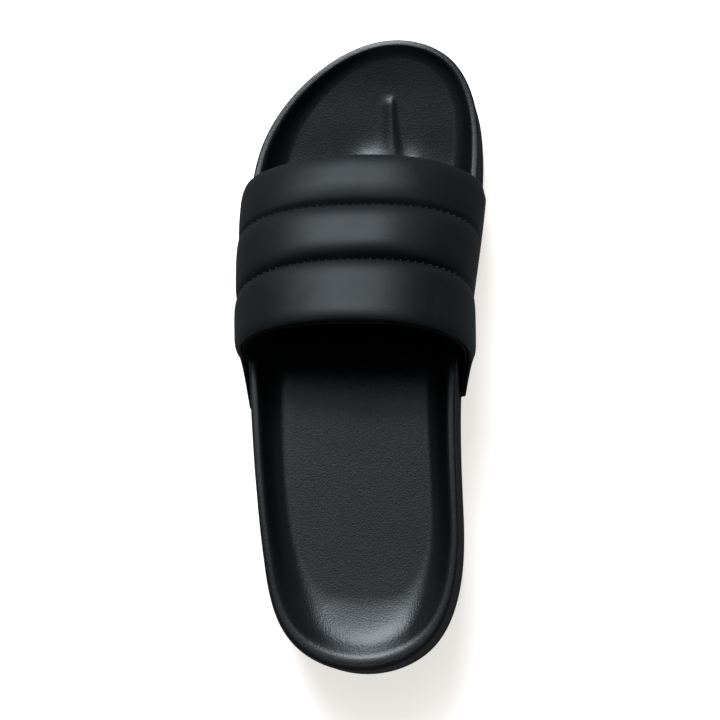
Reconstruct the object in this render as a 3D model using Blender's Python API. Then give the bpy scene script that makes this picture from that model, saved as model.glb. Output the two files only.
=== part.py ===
"""Padded foam slide, left foot, size US 8.5: a tread layer, a moulded footbed and one quilted strap.

The strap comes down outside the footbed and is lasted under its edge, between footbed and outsole.
Everything is worked out in the last's own frame, in millimetres: along runs from the back of the heel to the
toe (+Y), across is positive to the medial side (+X), height is above the floor (+Z).
"""

import math

import bmesh
import bpy
import numpy as np

MM = 0.001
GAP = 0.3  # between pieces that meet
OVERCUT = 4.0  # of a cutter beyond the surface it opens
QUARTER = 1 - math.sqrt(0.5)  # inset of the middle of a quarter round, as a share of its radius

SOLE_LENGTH = 272.4

# Outline of the sole at its widest line, clockwise from the toe as seen from above.
OUTLINE = (
    # place, across, along
    ("toe tip", 12.0, SOLE_LENGTH),
    ("toe, medial", 34.4, 263.2),
    ("toe corner, medial", 43.8, 247.0),
    ("ball, medial", 47.0, 220.0),
    ("waist, medial", 42.6, 170.0),
    ("arch, medial", 38.4, 122.0),
    ("seat, medial", 39.3, 75.0),
    ("heel, medial", 39.4, 42.0),
    ("heel corner, medial", 27.2, 10.9),
    ("heel back", 0.0, 0.0),
    ("heel corner, lateral", -28.2, 11.0),
    ("heel, lateral", -41.6, 44.0),
    ("waist, lateral", -49.6, 105.0),
    ("ball, lateral", -54.6, 185.0),
    ("toe corner, lateral", -49.8, 226.0),
    ("toe, lateral", -29.0, 256.0),
)
HEEL_BACK_ROW = 9
HALF_STATIONS = 52  # round each half of the outline, toe to heel
FINE_STEPS = 600  # in measuring the length of each half

# Heights along the middle of the footbed and along the crest of its rim.
FOOTBED_PROFILE = (
    # place, along, bed, rim
    ("heel back", 0.0, 29.2, 34.2),
    ("heel dish", 22.0, 26.8, 34.0),
    ("heel seat", 45.0, 25.2, 33.8),
    ("arch", 110.0, 24.2, 33.0),
    ("ball", 185.0, 19.4, 29.6),
    ("toe hollow", 212.0, 17.8, 28.9),
    ("toe ramp", 234.0, 22.2, 29.4),
    ("upper toe ramp", 254.0, 27.0, 31.2),
    ("toe tip", SOLE_LENGTH, 32.2, 34.0),
)

# Section of the rim and the basin's wall at the sides: rise is a share of the drop from rim to bed.
RIM_SECTION = (
    # place, inset from the outline, rise
    ("crest", 3.4, 1.00),
    ("inner shoulder", 5.1, 0.94),
    ("upper wall", 6.2, 0.76),
    ("mid wall", 7.9, 0.47),
    ("lower wall", 10.1, 0.20),
    ("foot of the wall", 12.4, 0.05),
    ("edge of the bed", 14.6, 0.00),
)
# The wall is a wide dish behind the heel and steep at the toe.
WALL_SPREAD = (
    # place, along, width of the wall as a share of its width at the sides
    ("heel back", 0.0, 1.72),
    ("heel corner", 12.0, 1.58),
    ("heel", 42.0, 1.15),
    ("side", 110.0, 1.02),
    ("ball", 212.0, 0.98),
    ("toe corner", 248.0, 0.70),
    ("toe tip", SOLE_LENGTH, 0.50),
)
# The rim leans out behind the heel.
RIM_OVERHANG = (
    # place, along, how far the rim stands out from its place at the sides
    ("heel back", 0.0, 1.9),
    ("heel corner", 12.0, 1.4),
    ("heel", 42.0, 0.4),
    ("seat", 70.0, 0.0),
)
WALL_DRAFT = 1.3  # the side leans in by this much up to the rim
SHOULDER_DROP = 2.5  # from the crest down to where the rim's rounding starts
SHOULDER_CORNER = 0.14  # gap from the middle of that rounding to a square corner, as a share of its size
EDGE_CHAMFER = 1.2  # at the parting line between footbed and outsole
BED_COLUMNS = 24

# Toe relief: a grip bar across the bed and a ridge from it between the first two toes.
BAR_ALONG, BAR_HEIGHT, BAR_SPREAD = 216.0, 3.9, 6.4
BAR_CENTRE, BAR_LEVEL_REACH, BAR_REACH = 4.0, 8.0, 28.0
BAR_BOW = 0.032  # the bar's ends lie further back, per square mm across
RIDGE_ROOT = (8.0, 222.0)  # across, along
RIDGE_TIP = (7.0, 250.4)
RIDGE_HEIGHT, RIDGE_ROOT_SPREAD, RIDGE_TIP_SPREAD, RIDGE_NOSE = 1.4, 3.8, 2.6, 7.0

# Outsole: flat under heel and forefoot, with an arch, a heel bevel and a toe spring.
OUTSOLE_THICKNESS = 9.0
HEEL_BEVEL, HEEL_BEVEL_LENGTH = 2.0, 22.0
TOE_SPRING, TOE_SPRING_START = 6.0, 214.0
ARCH_LIFT, ARCH_START, ARCH_END = 1.6, 92.0, 150.0
BOTTOM_ROUND = 2.6
GROOVE_WIDTH, GROOVE_DEPTH, GROOVE_MARGIN = 2.6, 1.6, 9.0
GROOVE_FIELDS = (
    # field, first along, pitch, count
    ("heel", 24.0, 11.0, 6),
    ("forefoot", 158.0, 11.0, 6),
)

# Strap: three padded channels with a pinched seam between each two.
STRAP_FRONT, STRAP_REAR = 209.3, 130.0  # along, at the crown
STRAP_WIDTH = STRAP_FRONT - STRAP_REAR
FRONT_SHIFT, REAR_SHIFT = -4.0, -1.4  # of each edge, from crown to spring line
LATERAL_FLARE, MEDIAL_FLARE, FLARE_POWER = -18.0, -12.0, 1.6  # of the rear edge, from spring line to sole
MEDIAL_LEAN, LEAN_START = 2.7, 0.55  # the medial side stands off towards the rear, from that share on
CROWN_FRONT, CROWN_REAR = 51.8, 76.2  # height of the lining
CROWN_ACROSS = 0.5
ARCH_POWER_FRONT, ARCH_POWER_REAR = 2.0, 2.5  # an ellipse at the front edge, squarer behind
ARCH_POWER_REACH = 0.45  # share of the way from front to rear where the rear power is reached
SEAMS = (
    # edge or seam, share of the way from front to rear at the crown, and at the lateral side
    ("front edge", 0.0, 0.0),
    ("front seam", 0.302, 0.350),
    ("rear seam", 0.631, 0.730),
    ("rear edge", 1.0, 1.0),
)
FREE = None  # a channel's slope at an edge of the strap, where there is no seam
CHANNELS = (
    # channel, padding at the crown, share of it left at the spring line, powers of its front and rear slopes
    ("front", 4.0, 0.10, FREE, 2.3),
    ("middle", 4.4, 0.18, 3.0, 4.4),
    ("rear", 4.2, 0.30, 3.8, FREE),
)
PUFF_FADE = 2.4  # power of the fall of the padding from crown to sides
SEAM_THICKNESS, END_THICKNESS = 3.2, 1.8
PINCH, PINCH_REACH = 0.9, 1.2  # depth and half width of the groove that a seam pulls in
FRONT_ROLL, REAR_ROLL = (10.0, 0.68), (5.5, 0.36)  # reach from the free edge, share of thickness lost
REAR_LIFT, LIFT_REACH = 3.2, 6.0  # the inner face rolls up at the rear edge too
FLANGE = 10.5  # lasted under the footbed
TURN = 0.5  # radius of the lining's turn round the footbed's lower edge
POCKET_CLEARANCE, POCKET_SECTIONS = 0.6, 16
CHANNEL_STEPS, ARCH_STEPS, WALL_STEPS = 8, 26, 4


def spline(knots, values, at, period=None):
    """Cubic spline through values at knots: natural at both ends, or closed over the period."""
    knots, values, at = (np.asarray(part, float) for part in (knots, values, at))
    if period:
        knots, values = np.append(knots, period), np.append(values, values[0])
    count = len(knots)
    step, slope = np.diff(knots), np.diff(values) / np.diff(knots)
    matrix, right = np.zeros((count, count)), np.zeros(count)
    for i in range(1, count - 1):
        matrix[i, i - 1 : i + 2] = step[i - 1], 2 * (step[i - 1] + step[i]), step[i]
        right[i] = 6 * (slope[i] - slope[i - 1])
    matrix[0, 0] = matrix[-1, -1] = 1
    if period:
        matrix[0, -1] = -1
        matrix[-1, [0, 1, -2, -1]] = 2 * step[0], step[0], step[-1], 2 * step[-1]
        right[-1] = 6 * (slope[0] - slope[-1])
    bend = np.linalg.solve(matrix, right)
    i = np.clip(np.searchsorted(knots, at, side="right") - 1, 0, count - 2)
    after, before = (at - knots[i]) / step[i], (knots[i + 1] - at) / step[i]
    curve = (after**3 - after) * bend[i + 1] + (before**3 - before) * bend[i]
    return after * values[i + 1] + before * values[i] + curve * step[i] ** 2 / 6


def smooth_step(value, start, end):
    share = np.clip((np.asarray(value, float) - start) / (end - start), 0, 1)
    return share * share * (3 - 2 * share)


def outline_points():
    """Stations round the outline: toe tip, medial side, heel back, lateral side."""
    across = np.array([row[1] for row in OUTLINE])
    along = np.array([row[2] for row in OUTLINE])
    chords = np.hypot(np.roll(across, -1) - across, np.roll(along, -1) - along)
    knots, period = np.concatenate([[0], np.cumsum(chords)[:-1]]), chords.sum()
    halves = []
    for start, end in ((0, knots[HEEL_BACK_ROW]), (knots[HEEL_BACK_ROW], period)):
        fine = np.linspace(start, end, FINE_STEPS)
        x = spline(knots, across, fine, period)
        y = spline(knots, along, fine, period)
        run = np.concatenate([[0], np.cumsum(np.hypot(np.diff(x), np.diff(y)))])
        even = np.linspace(0, run[-1], HALF_STATIONS + 1)[:-1]
        halves.append(np.column_stack([np.interp(even, run, x), np.interp(even, run, y)]))
    return np.concatenate(halves)


EDGE = outline_points()
TANGENT = np.roll(EDGE, -1, axis=0) - np.roll(EDGE, 1, axis=0)
INWARD = np.column_stack([TANGENT[:, 1], -TANGENT[:, 0]])
INWARD /= np.linalg.norm(INWARD, axis=1)[:, None]
MEDIAL_EDGE = EDGE[: HALF_STATIONS + 1][::-1]
LATERAL_EDGE = np.concatenate([EDGE[HALF_STATIONS:], EDGE[:1]])


def inset_ring(inset):
    return EDGE + INWARD * np.broadcast_to(inset, len(EDGE))[:, None]


def edge_across(along, medial):
    """Where the outline lies, across, beside a point along the sole."""
    side = MEDIAL_EDGE if medial else LATERAL_EDGE
    return np.interp(along, side[:, 1], side[:, 0])


def toe_spring(along):
    share = np.clip(along - TOE_SPRING_START, 0, None) / (SOLE_LENGTH - TOE_SPRING_START)
    return TOE_SPRING * share**2


def underside(along):
    bevel = HEEL_BEVEL * (np.clip(1 - along / HEEL_BEVEL_LENGTH, 0, 1)) ** 2
    share = np.clip((along - ARCH_START) / (ARCH_END - ARCH_START), 0, 1)
    return bevel + ARCH_LIFT * np.sin(math.pi * share) ** 2 + toe_spring(along)


def parting(along):
    """Height of the line where the footbed is glued to the outsole."""
    return OUTSOLE_THICKNESS + toe_spring(along)


def table_value(table, column, along):
    return spline([row[1] for row in table], [row[column] for row in table], along)


def rim_height(along):
    return table_value(FOOTBED_PROFILE, 3, along)


def rim_overhang(along):
    return np.interp(along, [row[1] for row in RIM_OVERHANG], [row[2] for row in RIM_OVERHANG])


def toe_relief(across, along):
    """Height of the grip bar and of the ridge between the toes above the plain bed."""
    off = across - BAR_CENTRE
    ends = 1 - smooth_step(np.abs(off), BAR_LEVEL_REACH, BAR_REACH)
    bar = BAR_HEIGHT * np.exp(-0.5 * ((along - BAR_ALONG + BAR_BOW * off**2) / BAR_SPREAD) ** 2) * ends
    share = np.clip((along - RIDGE_ROOT[1]) / (RIDGE_TIP[1] - RIDGE_ROOT[1]), 0, 1)
    middle = RIDGE_ROOT[0] + (RIDGE_TIP[0] - RIDGE_ROOT[0]) * share
    spread = RIDGE_ROOT_SPREAD + (RIDGE_TIP_SPREAD - RIDGE_ROOT_SPREAD) * share
    nose = 1 - smooth_step(along, RIDGE_TIP[1] - RIDGE_NOSE, RIDGE_TIP[1])
    root = smooth_step(along, BAR_ALONG - BAR_SPREAD, RIDGE_ROOT[1])
    ridge = RIDGE_HEIGHT * np.exp(-0.5 * ((across - middle) / spread) ** 2) * nose * root
    return bar + ridge


def bed_height(across, along):
    return table_value(FOOTBED_PROFILE, 2, along) + toe_relief(across, along)


def new_part(name, bm, material, collection):
    bmesh.ops.recalc_face_normals(bm, faces=bm.faces)
    mesh = bpy.data.meshes.new(name)
    bm.to_mesh(mesh)
    bm.free()
    mesh.materials.append(material)
    mesh.shade_smooth()
    mesh.set_sharp_from_angle(angle=math.radians(40))
    part = bpy.data.objects.new(name, mesh)
    collection.objects.link(part)
    return part


def new_material(name, colour, roughness):
    material = bpy.data.materials.new(name)
    material.use_nodes = True
    shader = material.node_tree.nodes["Principled BSDF"]
    shader.inputs["Base Color"].default_value = (*colour, 1.0)
    shader.inputs["Roughness"].default_value = roughness
    shader.inputs["Metallic"].default_value = 0.0
    material.diffuse_color = (*colour, 1.0)
    return material


def add_ring(bm, ring, heights):
    return [bm.verts.new((x * MM, y * MM, z * MM)) for (x, y), z in zip(ring, heights)]


def bridge(bm, first, second, closed=True):
    for i in range(len(first) if closed else len(first) - 1):
        j = (i + 1) % len(first)
        bm.faces.new((first[i], first[j], second[j], second[i]))


def fill_ladder(bm, ring, columns, height):
    """Fills a closed ring by rungs from its medial to its lateral stations, each in even columns."""
    last = HALF_STATIONS
    rungs = [[ring[0]]]
    for i in range(1, last):
        start, end = ring[i].co / MM, ring[-i].co / MM
        rung = [ring[i]]
        for k in range(1, columns):
            x, y = start.xy.lerp(end.xy, k / columns)
            rung.append(bm.verts.new((x * MM, y * MM, float(height(x, y)) * MM)))
        rungs.append([*rung, ring[-i]])
    rungs.append([ring[last]])
    for near, far in zip(rungs, rungs[1:]):
        for k in range(columns):
            first, second = (rung[k : k + 2] if len(rung) > 1 else rung for rung in (near, far))
            bm.faces.new([*first, *reversed(second)])


def make_outsole(material, collection, cutters):
    bm = bmesh.new()
    along = EDGE[:, 1]
    low, high = underside(along), parting(along) - GAP / 2
    levels = (
        # inset, height
        (BOTTOM_ROUND, low),
        (QUARTER * BOTTOM_ROUND, low + QUARTER * BOTTOM_ROUND),
        (0.0, low + BOTTOM_ROUND),
        (0.0, high - EDGE_CHAMFER),
        (EDGE_CHAMFER, high),
    )
    rings = []
    for inset, heights in levels:
        rings.append(add_ring(bm, inset_ring(inset), heights))
    for first, second in zip(rings, rings[1:]):
        bridge(bm, first, second)
    fill_ladder(bm, rings[0], 1, lambda x, y: underside(y))
    fill_ladder(bm, rings[-1], 1, lambda x, y: parting(y) - GAP / 2)
    outsole = new_part("outsole", bm, material, collection)

    bm = bmesh.new()
    for _, first, pitch, count in GROOVE_FIELDS:
        for k in range(count):
            y = first + k * pitch
            left = edge_across(y, medial=False) + GROOVE_MARGIN
            right = edge_across(y, medial=True) - GROOVE_MARGIN
            made = bmesh.ops.create_cube(bm, size=1.0)["verts"]
            size = (right - left, GROOVE_WIDTH, 2 * GROOVE_DEPTH)
            bmesh.ops.scale(bm, vec=[s * MM for s in size], verts=made)
            place = ((left + right) / 2, y, underside(y))
            bmesh.ops.translate(bm, vec=[float(p) * MM for p in place], verts=made)
    add_cutter(outsole, "tread_grooves", bm, material, cutters)
    return outsole


def add_cutter(part, name, bm, material, cutters):
    cutter = new_part(name, bm, material, cutters)
    cutter.hide_render = True
    cutter.display_type = "WIRE"
    cut = part.modifiers.new(name, "BOOLEAN")
    cut.operation = "DIFFERENCE"
    cut.object = cutter
    return cutter


def make_footbed(material, collection, cutters):
    bm = bmesh.new()
    along = EDGE[:, 1]
    low, rim = parting(along) + GAP / 2, rim_height(along)
    draft = WALL_DRAFT - rim_overhang(along)
    plain_crest = RIM_SECTION[0][1]
    crest = plain_crest - rim_overhang(along)
    spread = table_value(WALL_SPREAD, 2, along)
    levels = [
        # inset, height
        (EDGE_CHAMFER, low),
        (0.0, low + EDGE_CHAMFER),
        (0.5 * draft, 0.5 * (low + rim - SHOULDER_DROP)),
        (draft, rim - SHOULDER_DROP),
        (draft + SHOULDER_CORNER * (crest - draft), rim - SHOULDER_CORNER * SHOULDER_DROP),
    ]
    for _, plain_inset, rise in RIM_SECTION:
        inset = crest + (plain_inset - plain_crest) * spread
        ring = inset_ring(inset)
        bed = bed_height(ring[:, 0], ring[:, 1])
        levels.append((inset, bed + (rim - bed) * rise))
    rings = [add_ring(bm, inset_ring(inset), heights) for inset, heights in levels]
    for first, second in zip(rings, rings[1:]):
        bridge(bm, first, second)
    fill_ladder(bm, rings[-1], BED_COLUMNS, bed_height)
    fill_ladder(bm, rings[0], 1, lambda x, y: parting(y) + GAP / 2)
    footbed = new_part("footbed", bm, material, collection)
    for medial in (False, True):
        bm = strap_pocket(medial)
        side = "medial" if medial else "lateral"
        add_cutter(footbed, f"strap_pocket_{side}", bm, material, cutters)
    return footbed


def flange_top(along):
    return parting(along) + GAP / 2 + END_THICKNESS


def strap_pocket(medial):
    """Slot under the footbed's edge that takes the lasted end of the strap."""
    bm = bmesh.new()
    inward = -1 if medial else 1
    rear = strap_along(medial, 0.0, 1.0, 1.0) - POCKET_CLEARANCE
    front = strap_along(medial, 0.0, 1.0, 0.0) + POCKET_CLEARANCE
    sections = []
    for y in np.linspace(rear, front, POCKET_SECTIONS):
        edge = edge_across(y, medial)
        inner, outer = edge + inward * (FLANGE + POCKET_CLEARANCE), edge - inward * OVERCUT
        bottom, top = parting(y) - OVERCUT, flange_top(y) + GAP
        corners = ((inner, bottom), (inner, top), (outer, top), (outer, bottom))
        sections.append([bm.verts.new((x * MM, y * MM, z * MM)) for x, z in corners])
    for first, second in zip(sections, sections[1:]):
        bridge(bm, first, second)
    bm.faces.new(sections[0])
    bm.faces.new(sections[-1])
    return bm


def strap_along(medial, height_share, wall_share, front_to_rear):
    """Place along the sole of a point of the strap.

    height_share is 1 at the crown and 0 at the spring line, wall_share 0 there and 1 at the sole.
    """
    flare = MEDIAL_FLARE if medial else LATERAL_FLARE
    front = STRAP_FRONT + FRONT_SHIFT * (1 - height_share)
    rear = STRAP_REAR + REAR_SHIFT * (1 - height_share) + flare * wall_share**FLARE_POWER
    return front + (rear - front) * front_to_rear


def strap_stations():
    """Stations across the strap: (medial side, zone, share), lateral flange to medial flange."""
    side = [("flange", 0.0), ("flange", 0.5), ("flange", 1.0), ("turn", 0.5)]
    side += [("wall", share) for share in np.linspace(1, 0, WALL_STEPS + 1)[:-1]]
    stations = [(False, zone, share) for zone, share in side]
    for angle in np.linspace(180, 0, ARCH_STEPS + 1):
        stations.append((bool(angle < 90), "arch", math.radians(angle)))
    return stations + [(True, zone, share) for zone, share in reversed(side)]


def height_share(station):
    """1 at the crown, 0 from the spring line down."""
    _, zone, share = station
    return math.sin(share) if zone == "arch" else 0.0


def wall_share(station):
    """0 down to the spring line, 1 from the foot of the wall on."""
    _, zone, share = station
    return {"arch": 0.0, "wall": share}.get(zone, 1.0)


def channel_edges(station, channel):
    """Front and rear of a channel, as shares of the way from the strap's front edge to its rear edge."""
    sideways = 0.0 if station[0] else 1 - height_share(station)
    return [crown + (side - crown) * sideways for _, crown, side in SEAMS[channel : channel + 2]]


def lining_point(station, front_to_rear):
    """A point of the strap's inner face: under the footbed, round its lower edge, up its side and over."""
    medial, zone, share = station
    inward = -1 if medial else 1
    y = float(strap_along(medial, height_share(station), wall_share(station), front_to_rear))
    edge = float(edge_across(y, medial))
    if medial:
        edge += MEDIAL_LEAN * float(smooth_step(front_to_rear, LEAN_START, 1)) * (1 - wall_share(station))
    top = float(flange_top(y))
    spring = float(rim_height(y)) - SHOULDER_DROP
    if zone == "flange":
        inset, z = FLANGE + (TURN - GAP - FLANGE) * share, top
    elif zone == "turn":
        inset, z = QUARTER * TURN - GAP, top + QUARTER * TURN
    elif zone == "wall":
        inset, z = WALL_DRAFT * (1 - share) - GAP, spring + (top + TURN - spring) * share
    else:
        crown = CROWN_FRONT + (CROWN_REAR - CROWN_FRONT) * front_to_rear
        rearward = float(smooth_step(front_to_rear, 0, ARCH_POWER_REACH))
        power = ARCH_POWER_FRONT + (ARCH_POWER_REAR - ARCH_POWER_FRONT) * rearward
        half_span = abs(edge - CROWN_ACROSS) - WALL_DRAFT + GAP
        inset = WALL_DRAFT - GAP + half_span * (1 - abs(math.cos(share)) ** (2 / power))
        z = spring + (crown - spring) * math.sin(share) ** (2 / power)
    return edge + inward * inset, y, z


def strap_rows():
    """Front-to-rear shares of the strap's rows, close together at the edges and seams."""
    rows = [(0, 0.0)]
    for channel in range(len(CHANNELS)):
        for k in range(1, CHANNEL_STEPS + 1):
            rows.append((channel, 0.5 - 0.5 * math.cos(math.pi * k / CHANNEL_STEPS)))
    return rows


def edge_roll(from_edge, reach, lost):
    """Share of the strap's thickness left where a free edge is rolled over."""
    near = np.clip(1 - from_edge / reach, 0, 1)
    return 1 - lost * (1 - math.sqrt(1 - near**2))


def strap_thickness(station, channel, within, front_to_rear):
    _, zone, share = station
    if zone in ("flange", "turn"):
        return END_THICKNESS
    _, crown_puff, side_share, front_power, rear_power = CHANNELS[channel]
    power = front_power if within < 0.5 else rear_power
    lobe = 1.0 if power is FREE else 1 - abs(2 * within - 1) ** power
    start, end = channel_edges(station, channel)
    ahead = 1.0 if front_power is FREE else within
    behind = 1.0 if rear_power is FREE else 1 - within
    from_seam = min(ahead, behind) * (end - start) * STRAP_WIDTH
    plain = SEAM_THICKNESS - PINCH * math.exp(-((from_seam / PINCH_REACH) ** 2))
    if zone == "wall":
        foot = plain + (END_THICKNESS - plain) * share
        padded, rolled = foot + crown_puff * side_share * (1 - share) * lobe, 1 - share
    else:
        fade = side_share + (1 - side_share) * math.sin(share) ** PUFF_FADE
        padded, rolled = plain + crown_puff * fade * lobe, 1.0
    front = edge_roll(front_to_rear * STRAP_WIDTH, FRONT_ROLL[0], FRONT_ROLL[1] * rolled)
    rear = edge_roll((1 - front_to_rear) * STRAP_WIDTH, REAR_ROLL[0], REAR_ROLL[1] * rolled)
    return padded * front * rear


def rear_lift(station, front_to_rear):
    """Rise of the inner face towards the rolled rear edge, fading down the sides."""
    near = np.clip(1 - (1 - front_to_rear) * STRAP_WIDTH / LIFT_REACH, 0, 1)
    return REAR_LIFT * near**2 * height_share(station)


def make_strap(material, collection):
    stations, rows = strap_stations(), strap_rows()
    lining = np.zeros((len(rows), len(stations), 3))
    thickness = np.zeros((len(rows), len(stations)))
    lift = np.zeros((len(rows), len(stations)))
    for r, (channel, within) in enumerate(rows):
        for s, station in enumerate(stations):
            start, end = channel_edges(station, channel)
            front_to_rear = start + (end - start) * within
            lining[r, s] = lining_point(station, front_to_rear)
            thickness[r, s] = strap_thickness(station, channel, within, front_to_rear)
            lift[r, s] = rear_lift(station, front_to_rear)
    out = np.cross(np.gradient(lining, axis=0), np.gradient(lining, axis=1))
    out /= np.linalg.norm(out, axis=2)[:, :, None]
    cover = lining + out * thickness[:, :, None]
    lining = lining + out * lift[:, :, None]
    bm = bmesh.new()
    faces = []
    for surface in (lining, cover):
        faces.append([[bm.verts.new([float(c) * MM for c in p]) for p in row] for row in surface])
    for surface in faces:
        for first, second in zip(surface, surface[1:]):
            bridge(bm, first, second, closed=False)
    inner, outer = faces
    for r in (0, -1):
        bridge(bm, inner[r], outer[r], closed=False)
    for s in (0, -1):
        bridge(bm, [row[s] for row in inner], [row[s] for row in outer], closed=False)
    return new_part("upper_strap", bm, material, collection)


def stand_on_origin(parts, cutters):
    """Hangs parts and cutters on an empty that puts the middle of the box's foot at the origin."""
    bpy.context.view_layer.update()
    graph = bpy.context.evaluated_depsgraph_get()
    corners = np.array([c for part in parts for c in part.evaluated_get(graph).bound_box])
    low, high = corners.min(axis=0), corners.max(axis=0)
    stand = bpy.data.objects.new("slide_stand", None)
    parts[0].users_collection[0].objects.link(stand)
    stand.location = (-(low[0] + high[0]) / 2, -(low[1] + high[1]) / 2, -low[2])
    for part in [*parts, *cutters.objects]:
        part.parent = stand
    print("last frame to row frame, mm:", [round(c / MM, 3) for c in stand.location])


def main():
    for old in list(bpy.data.objects):
        bpy.data.objects.remove(old)
    collection = bpy.data.collections.new("Foam slide")
    cutters = bpy.data.collections.new("Foam slide cutters")
    for made in (collection, cutters):
        bpy.context.scene.collection.children.link(made)
    foam = new_material("Black moulded foam", (0.016, 0.018, 0.020), 0.52)
    tread = new_material("Black tread foam", (0.012, 0.012, 0.013), 0.62)
    cover = new_material("Black matt coated fabric", (0.020, 0.022, 0.024), 0.58)
    outsole = make_outsole(tread, collection, cutters)
    footbed = make_footbed(foam, collection, cutters)
    strap = make_strap(cover, collection)
    stand_on_origin([outsole, footbed, strap], cutters)


main()
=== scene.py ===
import math

import bmesh
import bpy
import numpy as np
from mathutils import Matrix, Vector


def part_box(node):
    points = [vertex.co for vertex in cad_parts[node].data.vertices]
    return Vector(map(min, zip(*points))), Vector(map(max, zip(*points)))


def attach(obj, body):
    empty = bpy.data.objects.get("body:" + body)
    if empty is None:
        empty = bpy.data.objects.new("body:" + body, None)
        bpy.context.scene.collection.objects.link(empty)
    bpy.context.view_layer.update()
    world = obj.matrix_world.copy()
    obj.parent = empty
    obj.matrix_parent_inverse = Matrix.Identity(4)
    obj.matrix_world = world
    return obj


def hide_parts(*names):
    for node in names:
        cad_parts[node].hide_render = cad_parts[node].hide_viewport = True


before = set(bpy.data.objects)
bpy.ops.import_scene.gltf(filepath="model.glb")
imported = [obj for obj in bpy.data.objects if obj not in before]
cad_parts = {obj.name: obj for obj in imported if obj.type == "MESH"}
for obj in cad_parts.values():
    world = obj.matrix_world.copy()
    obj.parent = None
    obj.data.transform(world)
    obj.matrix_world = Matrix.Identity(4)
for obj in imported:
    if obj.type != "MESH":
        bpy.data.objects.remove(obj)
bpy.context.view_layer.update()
mm = 0.001
print("frame loaded:", ", ".join(sorted(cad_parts)))


def hexColour(text):  # sRGB hex to linear
    parts = [int(text[i:i + 2], 16) / 255 for i in (1, 3, 5)]
    return (*[p / 12.92 if p <= 0.04045 else ((p + 0.055) / 1.055) ** 2.4 for p in parts], 1.0)


def addNode(tree, kind, settings=None, links=None):  # one node with its settings and what feeds it
    node = tree.nodes.new(kind)
    for name, value in (settings or {}).items():
        if isinstance(name, int) or name in node.inputs:
            node.inputs[name].default_value = value
        else:
            setattr(node, name, value)
    for name, source in (links or {}).items():
        tree.links.new(source, node.inputs[name])
    return node


def newMaterial(name):
    material = bpy.data.materials.new(name)
    material.use_nodes = True
    material.node_tree.nodes.clear()
    return material, material.node_tree


def newPiece(name, points, faces, materials):  # points in the last's own mm
    mesh = bpy.data.meshes.new(name)
    placed = (np.asarray(points, float) + lastToRow) * mm
    mesh.from_pydata(placed.tolist(), [], [list(map(int, face)) for face in faces])
    bm = bmesh.new()
    bm.from_mesh(mesh)
    bmesh.ops.recalc_face_normals(bm, faces=bm.faces)
    bm.to_mesh(mesh)
    bm.free()
    mesh.shade_smooth()
    for material in materials:
        mesh.materials.append(material)
    piece = bpy.data.objects.new(name, mesh)
    bpy.context.scene.collection.objects.link(piece)
    return piece


def spline(knots, values, at, period=None):  # cubic, natural at both ends or closed over the period
    knots, values, at = (np.asarray(part, float) for part in (knots, values, at))
    if period:
        knots = np.append(knots, period)
        values = np.append(values, values[0])
    count = len(knots)
    step = np.diff(knots)
    slope = np.diff(values) / step
    matrix = np.zeros((count, count))
    right = np.zeros(count)
    for i in range(1, count - 1):
        matrix[i, i - 1:i + 2] = step[i - 1], 2 * (step[i - 1] + step[i]), step[i]
        right[i] = 6 * (slope[i] - slope[i - 1])
    matrix[0, 0] = matrix[-1, -1] = 1
    if period:
        matrix[0, -1] = -1
        matrix[-1, [0, 1, -2, -1]] = 2 * step[0], step[0], step[-1], 2 * step[-1]
        right[-1] = 6 * (slope[0] - slope[-1])
    bend = np.linalg.solve(matrix, right)
    i = np.clip(np.searchsorted(knots, at, side="right") - 1, 0, count - 2)
    after = (at - knots[i]) / step[i]
    before = (knots[i + 1] - at) / step[i]
    curve = (after ** 3 - after) * bend[i + 1] + (before ** 3 - before) * bend[i]
    return after * values[i + 1] + before * values[i] + curve * step[i] ** 2 / 6


def smoothStep(value, start, end):
    share = np.clip((np.asarray(value, float) - start) / (end - start), 0, 1)
    return share * share * (3 - 2 * share)


def between(pair, share):  # first value at share 0, second at share 1
    return pair[0] + (pair[1] - pair[0]) * share


def bell(distance, spread):  # 1 in the middle, falling off on both sides
    return np.exp(-0.5 * (distance / spread) ** 2)


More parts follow.
